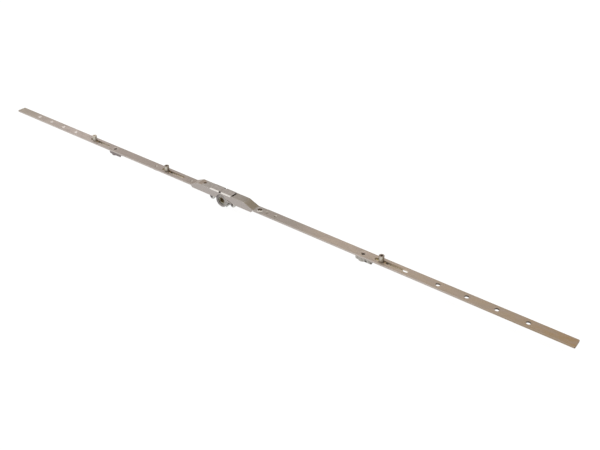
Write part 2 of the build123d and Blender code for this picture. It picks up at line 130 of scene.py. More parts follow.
ROLLING_MARKS = (14.0, 2200.0, 2200.0)      # marks per metre along, across and through the strip
CLOUD_MARKS = (45.0, 120.0, 120.0)
BLUSH_MARKS = (70.0, 160.0, 160.0)
SPANGLE_SCALE = 1800.0
STRIP_RELIEF = 0.000012


class Wire:
    """An output of a node tree. Arithmetic on it adds Math nodes, and node() adds any other."""

    def __init__(self, tree, socket=None):
        self.tree = tree
        self.socket = socket

    def node(self, kind, settings=None, inputs=None, out=0):
        """A new node with its settings, its inputs (wires or plain values) and the output read."""
        made = self.tree.nodes.new(kind)
        for name, value in (settings or {}).items():
            if name == "stops":
                points = made.color_ramp.elements
                while len(points) < len(value):
                    points.new(1.0)
                for point, (place, colour) in zip(points, value):
                    point.position = place
                    point.color = colour
            else:
                setattr(made, name, value)
        for name, value in (inputs or {}).items():
            if isinstance(value, Wire):
                self.tree.links.new(value.socket, made.inputs[name])
            else:
                made.inputs[name].default_value = value
        return Wire(self.tree, made.outputs[out])

    def maths(self, operation, left, right=0.0):
        """A Math node on one or two operands."""
        return self.node("ShaderNodeMath", {"operation": operation}, {0: left, 1: right})

    def __add__(self, other):
        return self.maths("ADD", self, other)

    def __radd__(self, other):
        return self.maths("ADD", other, self)

    def __sub__(self, other):
        return self.maths("SUBTRACT", self, other)

    def __rsub__(self, other):
        return self.maths("SUBTRACT", other, self)

    def __mul__(self, other):
        return self.maths("MULTIPLY", self, other)

    def __rmul__(self, other):
        return self.maths("MULTIPLY", other, self)

    def __abs__(self):
        return self.maths("ABSOLUTE", self)

    def clear_of(self, low, high):
        """0 below low, 1 above high and a soft rise between them."""
        settings = {"interpolation_type": "SMOOTHSTEP"}
        return self.node("ShaderNodeMapRange", settings, {"Value": self, 1: low, 2: high})

    def within(self, low, high, soft):
        """1 between low and high, with soft ends outside them."""
        return self.clear_of(low - soft, low) * (1 - self.clear_of(high, high + soft))

    def distance(self, across, centre=0.0):
        """How far the place (self, across) lies from (centre, 0)."""
        along = self - centre
        return self.maths("SQRT", along * along + across * across)

    def tint(self, first, second):
        """A colour that goes from first to second as this value goes from 0 to 1."""
        settings = {"data_type": "RGBA"}
        return self.node("ShaderNodeMix", settings, {0: self, 6: first, 7: second}, out=2)

    def ramp(self, stops):
        """A colour from a ramp of stops, read at this value."""
        return self.node("ShaderNodeValToRGB", {"stops": stops}, {0: self})

    def noise(self, place, scale, detail=3.0, roughness=0.5):
        """Noise in its usual range, read at a place."""
        inputs = {"Vector": place, "Scale": scale, "Detail": detail, "Roughness": roughness}
        return self.node("ShaderNodeTexNoise", None, inputs)

    def stretched(self, place, scale):
        """A place with each of its parts scaled."""
        return self.node("ShaderNodeMapping", None, {"Vector": place, "Scale": scale})


def finish(name):
    """A new material, a bare wire in its tree, the place on the piece, and X, Y and Z of it."""
    material = bpy.data.materials.new(name)
    material.use_nodes = True
    bare = Wire(material.node_tree)
    place = bare.node("ShaderNodeTexCoord", out=3)
    apart = [bare.node("ShaderNodeSeparateXYZ", None, {0: place}, out=i) for i in range(3)]
    return material, bare, place, apart


def metal(material, bare, colour, roughness, height, depth, metallic=0.85):
    """Feeds the material's shader: colour and roughness that vary, and a bump of one depth."""
    shader = material.node_tree.nodes["Principled BSDF"]
    shader.inputs["Metallic"].default_value = metallic
    inputs = {"Height": height, "Distance": depth, "Strength": 1.0}
    bump = bare.node("ShaderNodeBump", None, inputs)
    for name, wire in (("Base Color", colour), ("Roughness", roughness), ("Normal", bump)):
        material.node_tree.links.new(wire.socket, shader.inputs[name])


def softened(node, width, material, angle=32):
    """Stands in for a CAD node: its copy with flat facets joined and its edges rounded."""
    source = frame["nodes"][node]
    piece = bpy.data.objects.new(node + "_finished", source.data.copy())
    bpy.context.scene.collection.objects.link(piece)
    mesh = bmesh.new()
    mesh.from_mesh(piece.data)
    bmesh.ops.remove_doubles(mesh, verts=mesh.verts, dist=2e-6)
    bmesh.ops.dissolve_limit(mesh, angle_limit=radians(1), verts=mesh.verts, edges=mesh.edges)
    mesh.to_mesh(piece.data)
    mesh.free()
    piece.data.materials.clear()
    piece.data.materials.append(material)
    piece.data.shade_smooth()
    rounding = piece.modifiers.new("rounded_edges", "BEVEL")
    rounding.width = width
    rounding.segments = 2
    rounding.angle_limit = radians(angle)
    weighting = piece.modifiers.new("flat_faces", "WEIGHTED_NORMAL")
    weighting.weight = 80
    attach(piece, source["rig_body"])
    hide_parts(node)


strip_zinc, bare, place, (x, y, z) = finish("strip_zinc")
rolling = bare.noise(bare.stretched(place, ROLLING_MARKS), 1.0, detail=4.0, roughness=0.6)
clouds = bare.noise(bare.stretched(place, CLOUD_MARKS), 1.0)
spangle = bare.noise(place, SPANGLE_SCALE, detail=2.0)
along = (x - STRIP_LEFT) * (1 / STRIP_LENGTH)
tone = along.ramp(STRIP_TONES)
blush = bare.noise(bare.stretched(place, BLUSH_MARKS), 1.0, detail=2.0)
mottled = (blush.clear_of(0.40, 0.65) * BLUSH_SHARE).tint(tone, BLUSH_ZINC)
mottled = (clouds.clear_of(0.35, 0.70) * CLOUD_SHARE).tint(mottled, CLOUD_ZINC)
slit = abs(y).clear_of(SLIT_LOW, SLIT_HIGH)
upper = z.clear_of(FACE_LOW, FACE_HIGH)
punched = (1 - upper) * (1 - slit)
# A painted highlight along both long edges of the top, and in the loop below a painted bright ring
# round each fixing hole.
turned_edge = abs(y).clear_of(TURNED_LOW, TURNED_HIGH) * upper * (1 - slit)
edge_and_rim_highlight = turned_edge * rolling.clear_of(0.40, 0.65) * EDGE_HIGHLIGHT_SHARE
seat_shade = 0
cones = 0
for centre, dark_radius, fixing_rim_highlight in FIXING_PLACES:
    away = x.distance(y, centre)
    rim = away.within(FIXING_RIM, FIXING_RIM + RIM_WIDTH, RIM_SOFT)
    edge_and_rim_highlight = edge_and_rim_highlight + rim * upper * fixing_rim_highlight
    # Painted shade in the seat of each fixing hole.
    seat = 1 - away.clear_of(dark_radius - SEAT_IN, dark_radius + SEAT_OUT)
    seat_shade = seat_shade + seat * (1 - upper)
    cones = cones + (1 - away.clear_of(FIXING_RIM, FIXING_RIM + CONE_SOFT))
# Painted light on the left arm's hole walls and on the walls between 300 and 350 mm, painted shade
# in the right arm's holes.
wall = x.clear_of(LEFT_HOLES_END, LEFT_HOLES_END + HOLES_RUN).tint(LIT_WALL, PUNCHED_ZINC)
wall = x.clear_of(SLOT_PALE_START, SLOT_PALE_START + SLOT_PALE_RUN).tint(wall, LIT_SLOT)
wall = x.clear_of(RIGHT_HOLES_START, RIGHT_HOLES_START + HOLES_RUN).tint(wall, SHADED_WALL)
foot = x.within(LEFT_FOOT - FOOT_REACH, LEFT_FOOT + FOOT_REACH, FOOT_REACH)
mottled = (foot * FOOT_SHARE).tint(mottled, CLOUD_ZINC)
colour = (punched * (1 - cones)).tint(mottled, wall)
edging = x.clear_of(SLIT_TAN_START, SLIT_TAN_END).tint(SLIT_ZINC, SLIT_TAN)
colour = (slit * SLIT_SHARE).tint(colour, edging)
colour = (seat_shade * SEAT_SHADE_SHARE).tint(colour, SHADE_AND_MOTTLE_DARK)
colour = edge_and_rim_highlight.tint(colour, ZINC_HIGHLIGHT)
roughness = 0.30 + rolling * 0.10 + clouds * 0.08 + punched * 0.2 + slit * 0.15
metal(strip_zinc, bare, colour, roughness, rolling + spangle * 0.3, STRIP_RELIEF)
for node in ("faceplate_left", "faceplate_right"):
    softened(node, STRIP_EDGE, strip_zinc)


# Gear housing. A zinc die-casting between the strips, plated with them, with the fine grain of
# the die. The film stays brown on the right ramp and tan on the left one, where the casting hung
# in the bath. The flange's screw hole has a painted highlight on its near rim and on the near half
# of its cone, and painted shade in the far half. Painted shade also fills the nib's pocket, a
# sloping line where the cheek's web meets the side wall and the foot of the right ramp, and a
# painted glint lies on the side wall above that foot.
CAST_TONE = (0.415, 0.385, 0.362, 1.0)
CAST_DEEP = (0.360, 0.330, 0.305, 1.0)
CAST_WALL = (0.400, 0.362, 0.338, 1.0)
CAST_BROWN = (0.225, 0.190, 0.143, 1.0)
CAST_TAN = (0.335, 0.262, 0.205, 1.0)
CAST_RUST = (0.220, 0.118, 0.055, 1.0)
CAST_SHADE = (0.035, 0.025, 0.018, 1.0)
CAST_HIGHLIGHT = (0.880, 0.840, 0.780, 1.0)
CAST_SHINE = (0.640, 0.610, 0.570, 1.0)
ROOF_FILM = 0.38
RAMP_FILM = 0.55
LEFT_FILM = 0.75
FLANGE_FILM = 0.30
RIM_HIGHLIGHT_SHARE = 0.8
WEB_SHADOW_SHARE = 0.85
FOOT_SHADE_SHARE = 0.8
GLINT_SHARE = 0.35
EDGE_SHINE_SHARE = 0.4

HOUSING_EDGE = 0.0003
WALL_LOW = 0.0074
WALL_HIGH = 0.0079
GAP_RIGHT = 0.0222
RAMP_FILM_START = 0.040
RAMP_FILM_FULL = 0.053
RIGHT_RAMP_FOOT = 0.0636
LEFT_RAMP_FOOT = -0.066
LEFT_RAMP_TOP = -0.050
LEFT_FILM_REACH = 0.006
FLANGE_HOLE = 0.0725
FLANGE_FILM_START = FLANGE_HOLE + 0.003
FLANGE_FILM_END = FLANGE_HOLE + 0.012
CONE_RADIUS = 0.0040
RIM_HIGHLIGHT_RADIUS = 0.0060
RIM_HIGHLIGHT_EAST = 0.6
RIM_HIGHLIGHT_SOUTH = 0.8
RIM_HIGHLIGHT_LOW = 0.0026
RIM_HIGHLIGHT_HIGH = 0.0042
CONE_SHADE_LOW = -0.0022
CONE_SHADE_HIGH = -0.0010
CONE_LIT_LOW = -0.0026
CONE_LIT_HIGH = -0.0016
ROOF_HOLE = -0.0406
ROOF_HOLE_FLOOR = 0.0110
ROOF_HOLE_BRINK = 0.0146
ROOF_HOLE_IN = 0.00235
ROOF_HOLE_OUT = 0.0026
NIB_PLACE = -0.0025
NIB_LEFT = -0.0018
NIB_RIGHT = 0.0012
NIB_HALF_WIDTH = 0.0050
NIB_FLOOR = 0.0131
NIB_TOP = 0.0134
WEB_START = 0.0138
WEB_END = 0.0240
WEB_SHADOW_LEVEL = 0.0055
WEB_SLOPE = 0.354
WEB_HALF = 0.0003
FOOT_START = 0.0640
FOOT_END = 0.0690
FOOT_LOW = 0.0046
FOOT_HIGH = 0.0052
GLINT_END = 0.0660
GLINT_LOW = 0.0062
GLINT_HIGH = 0.0073
ROOF_EDGE_IN = 0.0070
ROOF_EDGE_OUT = 0.0076
ROOF_LOW = 0.0138
ROOF_HIGH = 0.0144

CAST_GRAIN_SCALE = 2600.0
CAST_CLOUD_SCALE = 90.0
CAST_RELIEF = 0.00002

cast_zinc, bare, place, (x, y, z) = finish("cast_zinc")
grain = bare.noise(place, CAST_GRAIN_SCALE, roughness=0.6)
clouds = bare.noise(place, CAST_CLOUD_SCALE)
side = abs(y).clear_of(WALL_LOW, WALL_HIGH)
colour = clouds.clear_of(0.35, 0.7).tint(CAST_TONE, CAST_DEEP)
deepening = ROOF_FILM + x.clear_of(RAMP_FILM_START, RAMP_FILM_FULL) * RAMP_FILM
right_film = x.within(GAP_RIGHT, RIGHT_RAMP_FOOT - 0.001, soft=0.005) * deepening
left_film = x.within(LEFT_RAMP_FOOT - LEFT_FILM_REACH, LEFT_RAMP_TOP + LEFT_FILM_REACH, soft=0.004)
flange_film = x.within(FLANGE_FILM_START, FLANGE_FILM_END, soft=0.003) * FLANGE_FILM
colour = ((right_film + flange_film) * (1 - side)).tint(colour, CAST_BROWN)
colour = (left_film * LEFT_FILM * (1 - side)).tint(colour, CAST_TAN)
colour = side.tint(colour, CAST_WALL)
away = x.distance(y, FLANGE_HOLE)
upper = z.clear_of(FACE_LOW, FACE_HIGH)
# Painted highlight on the near rim and the near half of the cone, painted shade in its far half.
near_side = (x - FLANGE_HOLE) * RIM_HIGHLIGHT_EAST - y * RIM_HIGHLIGHT_SOUTH
flange_rim_highlight = away.within(CONE_RADIUS, RIM_HIGHLIGHT_RADIUS, soft=0.0004) * upper
flange_rim_highlight = flange_rim_highlight * near_side.clear_of(RIM_HIGHLIGHT_LOW, RIM_HIGHLIGHT_HIGH)
cone = (1 - away.clear_of(CONE_RADIUS, CONE_RADIUS + 0.0002)) * (1 - upper)
colour = (cone * y.clear_of(CONE_SHADE_LOW, CONE_SHADE_HIGH)).tint(colour, SHADE_AND_MOTTLE_DARK)
lit_cone = cone * (1 - y.clear_of(CONE_LIT_LOW, CONE_LIT_HIGH))
colour = (flange_rim_highlight * RIM_HIGHLIGHT_SHARE + lit_cone).tint(colour, CAST_HIGHLIGHT)
roof_hole = z.within(ROOF_HOLE_FLOOR, ROOF_HOLE_BRINK, soft=0.0001)
roof_hole = roof_hole * (1 - x.distance(y, ROOF_HOLE).clear_of(ROOF_HOLE_IN, ROOF_HOLE_OUT))
colour = roof_hole.tint(colour, CAST_RUST)
# Painted shade in the nib's pocket, along the web's line on the side wall and at the ramp's foot.
nib = (x - NIB_PLACE).within(NIB_LEFT, NIB_RIGHT, soft=0.0003) * z.clear_of(NIB_FLOOR, NIB_TOP)
nib = nib * abs(y).clear_of(NIB_HALF_WIDTH, NIB_HALF_WIDTH + 0.0002)
above_web_shadow = (z - WEB_SHADOW_LEVEL) + (x - WEB_START) * WEB_SLOPE
web_shadow = above_web_shadow.within(-WEB_HALF, WEB_HALF, soft=0.0006) * side
web_shadow = web_shadow * x.within(WEB_START, WEB_END, soft=0.003) * WEB_SHADOW_SHARE
foot = x.within(FOOT_START, FOOT_END, soft=0.0006) * (1 - z.clear_of(FOOT_LOW, FOOT_HIGH))
colour = (nib + web_shadow + foot * FOOT_SHADE_SHARE).tint(colour, CAST_SHADE)
# A painted glint on the side wall above the ramp's foot.
glint = z.within(GLINT_LOW, GLINT_HIGH, soft=0.0004) * side
glint = glint * x.within(FOOT_START, GLINT_END, soft=0.0006)
colour = (glint * GLINT_SHARE).tint(colour, CAST_HIGHLIGHT)
edge = abs(y).within(ROOF_EDGE_IN, ROOF_EDGE_OUT, soft=0.0003) * z.clear_of(ROOF_LOW, ROOF_HIGH)
colour = (edge * grain.clear_of(0.3, 0.6) * EDGE_SHINE_SHARE).tint(colour, CAST_SHINE)
roughness = 0.33 + grain * 0.14
metal(cast_zinc, bare, colour, roughness, grain + clouds * 2.0, CAST_RELIEF)
softened("gear_housing", HOUSING_EDGE, cast_zinc)


# Cover plate. A pressed steel plate let into the roof over the rack. Its bevelled long edge carries
# a painted highlight on the near side and painted shade on the far side, and a notch halfway along
# each edge, painted in shade, takes a nib of the housing.
COVER_TONE = (0.440, 0.405, 0.385, 1.0)
COVER_HIGHLIGHT = (0.860, 0.835, 0.800, 1.0)
COVER_FLAT_HALF = 0.0056
COVER_BEVEL_SOFT = 0.0001
COVER_MIDDLE_SOFT = 0.001
COVER_EDGE = 0.00015
COVER_FACET_ANGLE = 12
NOTCH_LEFT = -0.0024
NOTCH_RIGHT = 0.0013
COVER_MARKS = (40.0, 2600.0, 2600.0)
COVER_CLOUD_SCALE = 140.0
COVER_RELIEF = 0.000012

cover_zinc, bare, place, (x, y, z) = finish("cover_zinc")
rolling = bare.noise(bare.stretched(place, COVER_MARKS), 1.0, detail=4.0, roughness=0.6)
clouds = bare.noise(place, COVER_CLOUD_SCALE)
bevel = abs(y).clear_of(COVER_FLAT_HALF - COVER_BEVEL_SOFT, COVER_FLAT_HALF + COVER_BEVEL_SOFT)
flat = clouds.clear_of(0.35, 0.7).tint(COVER_TONE, CAST_DEEP)
# Painted highlight on the near bevel, painted shade on the far one.
bevel_light_and_shade = y.clear_of(-COVER_MIDDLE_SOFT, COVER_MIDDLE_SOFT).tint(COVER_HIGHLIGHT, CAST_DEEP)
colour = bevel.tint(flat, bevel_light_and_shade)
# Painted shade in the notches.
notch = (x - NIB_PLACE).within(NOTCH_LEFT, NOTCH_RIGHT, soft=0.0003) * bevel
colour = notch.tint(colour, CAST_SHADE)
roughness = 0.28 + rolling * 0.14
metal(cover_zinc, bare, colour, roughness, rolling, COVER_RELIEF)
softened("gear_cover", COVER_EDGE, cover_zinc, angle=COVER_FACET_ANGLE)


# Cheeks. Two zinc castings pressed into the side walls. They carry the pinion and end in the tapped
# lugs for the handle screws. The rims of the boss and the lugs carry painted shade on their left
# side and a painted highlight on their right side, broken into worn patches on the boss's rim.
CHEEK_TONE = (0.305, 0.282, 0.258, 1.0)
CHEEK_DEEP = (0.215, 0.195, 0.180, 1.0)
CHEEK_HIGHLIGHT = (0.560, 0.555, 0.520, 1.0)
CHEEK_SHADE = (0.150, 0.135, 0.140, 1.0)
SHADE_SHARE = 0.8
RIM_PATCH_SHARE = 0.6
LIT_AND_WORN_SHARE = 0.8
CHEEK_EDGE = 0.00022
BOSS_RIM_IN = 0.0082
BOSS_RIM_OUT = 0.0108
RIM_SHADE_LEFT = -0.0070
RIM_SHADE_RIGHT = -0.0035
RIM_LIT_LEFT = 0.0055
RIM_LIT_RIGHT = 0.0110
LUG_PLACE = 0.0215
LUG_RING_IN = 0.0023
LUG_RING_OUT = 0.0050
LUG_LIT_LEFT = -0.0008
LUG_LIT_RIGHT = 0.0012
CHEEK_GRAIN_SCALE = 3000.0
CHEEK_CLOUD_SCALE = 260.0
WORN_SCALE = 500.0

bright_cast, bare, place, (x, y, z) = finish("bright_cast")
grain = bare.noise(place, CHEEK_GRAIN_SCALE, roughness=0.6)
clouds = bare.noise(place, CHEEK_CLOUD_SCALE)
colour = clouds.clear_of(0.3, 0.7).tint(CHEEK_TONE, CHEEK_DEEP)
rim = x.distance(z).within(BOSS_RIM_IN, BOSS_RIM_OUT, soft=0.0006)
# Painted shade on the left of the rims, painted highlight on their right.
rim_shade = rim * (1 - x.clear_of(RIM_SHADE_LEFT, RIM_SHADE_RIGHT))
colour = (rim_shade * SHADE_SHARE).tint(colour, CHEEK_SHADE)
rubbed = bare.noise(place, WORN_SCALE, detail=2.0).clear_of(0.35, 0.65) * RIM_PATCH_SHARE
lit_and_worn = rim * x.within(RIM_LIT_LEFT, RIM_LIT_RIGHT, soft=0.0030) * rubbed
for centre in (-LUG_PLACE, LUG_PLACE):
    ring = x.distance(z, centre).within(LUG_RING_IN, LUG_RING_OUT, soft=0.0003)
    lit = (x - centre).clear_of(LUG_LIT_LEFT, LUG_LIT_RIGHT)
    colour = (ring * (1 - lit) * SHADE_SHARE).tint(colour, CHEEK_SHADE)
    lit_and_worn = lit_and_worn + ring * lit
colour = (lit_and_worn * LIT_AND_WORN_SHARE).tint(colour, CHEEK_HIGHLIGHT)
roughness = 0.28 + grain * 0.16
metal(bright_cast, bare, colour, roughness, grain, CAST_RELIEF)
for node in ("cheek_near", "cheek_far"):
    softened(node, CHEEK_EDGE, bright_cast)


# Pinion. A gear of sintered steel with a square hole for the handle's spindle. The rack keeps its
# tooth tips clean. The journals' faces and the roots hold the grease of the assembly, painted olive
# as lit on the lower left and dark brown in shade on the upper right, with more painted shade on
# the upper part of the journal faces. The square hole is painted in shade above and painted light
# yellow on its sill.
GEAR_TONE = (0.440, 0.440, 0.415, 1.0)
GEAR_GREASE_SHADE = (0.165, 0.110, 0.062, 1.0)
GEAR_OLIVE_LIT = (0.210, 0.195, 0.100, 1.0)
GEAR_BORE_SHADE = (0.174, 0.128, 0.093, 1.0)
GEAR_SILL_LIGHT = (0.520, 0.440, 0.240, 1.0)
ROOT_SHARE = 0.5
GEAR_EDGE = 0.00018
BORE_HALF = 0.0037
SILL_LOW = -0.0034
SILL_HIGH = -0.0028
JOURNAL_IN = 0.0051
JOURNAL_OUT = 0.0058
GEAR_ROOT_IN = 0.0098
GEAR_ROOT_OUT = 0.0104
GEAR_GRAIN_SCALE = 2600.0
GREASE_SCALE = 420.0
GREASE_LEAST = 0.50
UPPER_SHADE_SHARE = 0.40
GREASE_FILM = 0.2
UPPER_SOFT = 0.004
OLIVE_SOFT = 0.002
GEAR_RELIEF = 0.00002

gear_steel, bare, place, (x, y, z) = finish("gear_steel")
grain = bare.noise(place, GEAR_GRAIN_SCALE, roughness=0.6)
radius = x.distance(z)
greased = 1 - radius.clear_of(JOURNAL_IN, JOURNAL_OUT)
rooted = radius.within(GEAR_ROOT_IN, GEAR_ROOT_OUT, soft=0.0010)
film = bare.noise(place, GREASE_SCALE, detail=2.0)
# Painted light and shade on the grease: olive on the lower left, dark brown on the upper right.
grease_and_shade = (z + x).clear_of(-OLIVE_SOFT, OLIVE_SOFT).tint(GEAR_OLIVE_LIT, GEAR_GREASE_SHADE)
# More painted shade toward the top of the journal faces.
grease_and_upper_shade = GREASE_LEAST + z.clear_of(-UPPER_SOFT, UPPER_SOFT) * UPPER_SHADE_SHARE + film * GREASE_FILM
colour = (greased * grease_and_upper_shade + rooted * ROOT_SHARE).tint(GEAR_TONE, grease_and_shade)
# The square hole: painted shade above, painted light on its sill.
off_centre = bare.maths("MAXIMUM", abs(x), abs(z))
bore = 1 - off_centre.clear_of(BORE_HALF - 0.0001, BORE_HALF)
bore_shade_and_light = z.clear_of(SILL_LOW, SILL_HIGH).tint(GEAR_SILL_LIGHT, GEAR_BORE_SHADE)
colour = bore.tint(colour, bore_shade_and_light)
roughness = 0.26 + grain * 0.16 + greased * 0.12
metal(gear_steel, bare, colour, roughness, grain, GEAR_RELIEF)
softened("pinion", GEAR_EDGE, gear_steel)


# Drive rods and rack. Flat strips of plated steel that slide under the faceplates, the rack
# cranked up over the pinion between them. Round each cam's pin the top face carries bronze and
# olive grease, painted bright as light in the slot's shade, and farther right of the left and
# middle pins it is painted pale as light toward the slot's end. A dark band beside each pin is a
# painted shadow of the roller, and rust lies under the round hole of the housing.
ROD_TONE = (0.520, 0.455, 0.360, 1.0)
ROD_SMEAR = (0.400, 0.345, 0.260, 1.0)
ROD_SHADOW = (0.060, 0.042, 0.026, 1.0)
ROD_BRONZE_LIT = (0.760, 0.560, 0.330, 1.0)
ROD_OLIVE_LIT = (0.720, 0.620, 0.360, 1.0)
ROD_PAINTED_LIGHT = (0.620, 0.550, 0.460, 1.0)
ROD_EDGE = 0.00022
ROD_TOP = 0.0049
PIN_BOXES = [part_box("cam_pin_" + name) for name in ("left", "middle", "right")]
CAM_PLACES = [(low[0] + high[0]) / 2 for low, high in PIN_BOXES]
BRONZE_START = -0.0005
BRONZE_END = 0.0058
OLIVE_START = -0.0090
OLIVE_END = -0.0030
PALE_START = 0.0300
PALE_END = 0.0450
PALE_SOFT = 0.015
RIGHT_ROD_LOW = 0.20
RIGHT_ROD_HIGH = 0.25
SHADOW_START = 0.0068
SHADOW_END = 0.0096
SHADOW_LEAST = 0.6
SHADOW_SMEAR = 0.5
RUST_IN = 0.0024
RUST_OUT = 0.0034
ROD_MARKS = (18.0, 1900.0, 1900.0)
SMEAR_MARKS = (60.0, 220.0, 220.0)
ROD_RELIEF = 0.000015
ROD_METALLIC = 0.5

rod_zinc, bare, place, (x, y, z) = finish("rod_zinc")
rolling = bare.noise(bare.stretched(place, ROD_MARKS), 1.0, detail=4.0, roughness=0.6)
smear = bare.noise(bare.stretched(place, SMEAR_MARKS), 1.0)
colour = smear.clear_of(0.38, 0.66).tint(ROD_TONE, ROD_SMEAR)
grease_and_shade = 0
outer = z.clear_of(ROD_TOP - 0.0004, ROD_TOP - 0.0001)
for centre in CAM_PLACES:
    along = x - centre
    # Bronze and olive grease, brightened as painted light in the slot's shade.
    colour = (along.within(BRONZE_START, BRONZE_END, soft=0.001) * outer).tint(colour, ROD_BRONZE_LIT)
    colour = (along.within(OLIVE_START, OLIVE_END, soft=0.001) * outer).tint(colour, ROD_OLIVE_LIT)
    # Painted light: paler toward the slot's end.
    lit_slot_end = along.within(PALE_START, PALE_END, PALE_SOFT)
    lit_slot_end = lit_slot_end * (1 - x.clear_of(RIGHT_ROD_LOW, RIGHT_ROD_HIGH))
    colour = (lit_slot_end * outer).tint(colour, ROD_PAINTED_LIGHT)
    # A painted shadow of the roller beside the pin.
    roller_shadow = along.within(SHADOW_START, SHADOW_END, soft=0.0012)
    roller_shadow = roller_shadow * (SHADOW_LEAST + smear * SHADOW_SMEAR)
    grease_and_shade = grease_and_shade + roller_shadow * outer
colour = grease_and_shade.tint(colour, ROD_SHADOW)
under_hole = 1 - x.distance(y, ROOF_HOLE).clear_of(RUST_IN, RUST_OUT)
colour = under_hole.tint(colour, CAST_RUST)
roughness = 0.40 + rolling * 0.1 + smear * 0.12
metal(rod_zinc, bare, colour, roughness, rolling, ROD_RELIEF, metallic=ROD_METALLIC)
for node in ("rack", "drive_rod_left", "drive_rod_right"):
    softened(node, ROD_EDGE, rod_zinc)


# Rivets. Three steel rivets, zinc plated, join the strips to the housing's tongues and one guides
# the rod. The riveting tool leaves a low domed head on each, a little wider than its shank. Painted
# shade darkens the foot of each head and one side of it.
RIVET_TONE = (0.640, 0.600, 0.540, 1.0)
RIVET_DEEP = (0.470, 0.430, 0.375, 1.0)
RIVET_DULL = (0.330, 0.290, 0.270, 1.0)
HEAD_FOOT_SHADE_SHARE = 0.8
RIVET_SHADE_SHARE = 0.85
DULLED_SHARE = 0.45
RIVET_EDGE = 0.0002
RIVET_REACH = 0.0030
RIVET_SHADE_START = 0.0012
HEAD_FOOT_LOW = STRIP_TOP + 0.0001
HEAD_FOOT_HIGH = STRIP_TOP + 0.0003
LAP_HEAD = 0.0052
GUIDE_HEAD = 0.0044
DOME_HEIGHT = 0.0007
DOME_SEAT = 0.0001
DOME_SIDES = 32
DOME_RINGS = 12
RIGHT_RIVET_STEP = 0.017
RIVET_SCALE = 2200.0
RIVET_RELIEF = 0.00001

lap_low, lap_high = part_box("lap_rivets")
lap_radius = (lap_high[1] - lap_low[1]) / 2
last_lap = lap_high[0] - lap_radius
LAP_PLACES = (lap_low[0] + lap_radius, last_lap - RIGHT_RIVET_STEP, last_lap)
guide_low, guide_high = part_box("guide_rivet")
GUIDE_PLACES = ((guide_low[0] + guide_high[0]) / 2,)
SHADED_SIDES = ((-0.62, -0.78), (0.60, -0.80), (0.0, -1.0), (-0.62, -0.78))      # along X and Y

rivet_zinc, bare, place, (x, y, z) = finish("rivet_zinc")
grain = bare.noise(place, RIVET_SCALE, detail=2.0)
colour = grain.clear_of(0.3, 0.7).tint(RIVET_TONE, RIVET_DEEP)
# Painted shade at the foot of each head.
head_foot_shade = 1 - z.clear_of(HEAD_FOOT_LOW, HEAD_FOOT_HIGH)
colour = (head_foot_shade * HEAD_FOOT_SHADE_SHARE).tint(colour, SHADE_AND_MOTTLE_DARK)
for centre, (shade_east, shade_north) in zip(LAP_PLACES + GUIDE_PLACES, SHADED_SIDES):
    # Painted shade on one side of each head.
    along = x - centre
    shaded_side = along * shade_east + y * shade_north
    shaded_side = shaded_side.within(RIVET_SHADE_START, RIVET_REACH * 2, soft=0.0006)
    shaded_side = shaded_side * along.within(-RIVET_REACH, RIVET_REACH, soft=0.0001)
    colour = (shaded_side * RIVET_SHADE_SHARE).tint(colour, SHADE_AND_MOTTLE_DARK)
dulled = (x - LAP_PLACES[0]).within(-RIVET_REACH, RIVET_REACH, soft=0.0001)
colour = (dulled * DULLED_SHARE).tint(colour, RIVET_DULL)
roughness = 0.26 + grain * 0.12
metal(rivet_zinc, bare, colour, roughness, grain, RIVET_RELIEF)
for node in ("lap_rivets", "guide_rivet"):
    softened(node, RIVET_EDGE, rivet_zinc)

head_rule = bpy.data.node_groups.new("rivet_heads", "GeometryNodeTree")
head_rule.interface.new_socket("Places", in_out="INPUT", socket_type="NodeSocketGeometry")
for size in ("Head Diameter", "Dome Height", "Seat Depth"):
    head_rule.interface.new_socket(size, in_out="INPUT", socket_type="NodeSocketFloat")
head_rule.interface.new_socket("Heads", in_out="OUTPUT", socket_type="NodeSocketGeometry")
inlet = head_rule.nodes.new("NodeGroupInput")
places, diameter, height, seat = [Wire(head_rule, socket) for socket in inlet.outputs[:4]]
rule = Wire(head_rule)
ball = rule.node("GeometryNodeMeshUVSphere", None,
                 {"Segments": DOME_SIDES, "Rings": DOME_RINGS, "Radius": 1.0})
spot = rule.node("GeometryNodeInputPosition")
east, north, rise = [rule.node("ShaderNodeSeparateXYZ", None, {0: spot}, out=i) for i in range(3)]
over = rule.maths("MAXIMUM", rise, 0.0) * height
under = rule.maths("MINIMUM", rise, 0.0) * seat
dome_spot = rule.node("ShaderNodeCombineXYZ", None,
                      {0: east * diameter * 0.5, 1: north * diameter * 0.5, 2: over + under})
dome = rule.node("GeometryNodeSetPosition", None, {"Geometry": ball, "Position": dome_spot})
row = rule.node("GeometryNodeInstanceOnPoints", None, {"Points": places, "Instance": dome})
real = rule.node("GeometryNodeRealizeInstances", None, {0: row})
dressed = rule.node("GeometryNodeSetMaterial", None, {"Geometry": real, "Material": rivet_zinc})
outlet = head_rule.nodes.new("NodeGroupOutput")
head_rule.links.new(dressed.socket, outlet.inputs[0])


def rivet_heads(name, spots, diameter):
    """A plain mesh of domed heads on the faceplate at these places along X."""
    points = bpy.data.meshes.new(name + "_places")
    points.from_pydata([(spot, 0.0, STRIP_TOP) for spot in spots], [], [])
    heads = bpy.data.objects.new(name, points)
    bpy.context.scene.collection.objects.link(heads)
    doming = heads.modifiers.new("heads", "NODES")
    doming.node_group = head_rule
    sizes = {"Head Diameter": diameter, "Dome Height": DOME_HEIGHT, "Seat Depth": DOME_SEAT}
    for socket in head_rule.interface.items_tree:
        if socket.name in sizes:
            doming[socket.identifier] = sizes[socket.name]
    graph = bpy.context.evaluated_depsgraph_get()
    mesh = bpy.data.meshes.new_from_object(heads.evaluated_get(graph))
    heads.modifiers.remove(doming)
    heads.data = mesh
    mesh.shade_smooth()
    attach(heads, frame["nodes"]["lap_rivets"]["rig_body"])


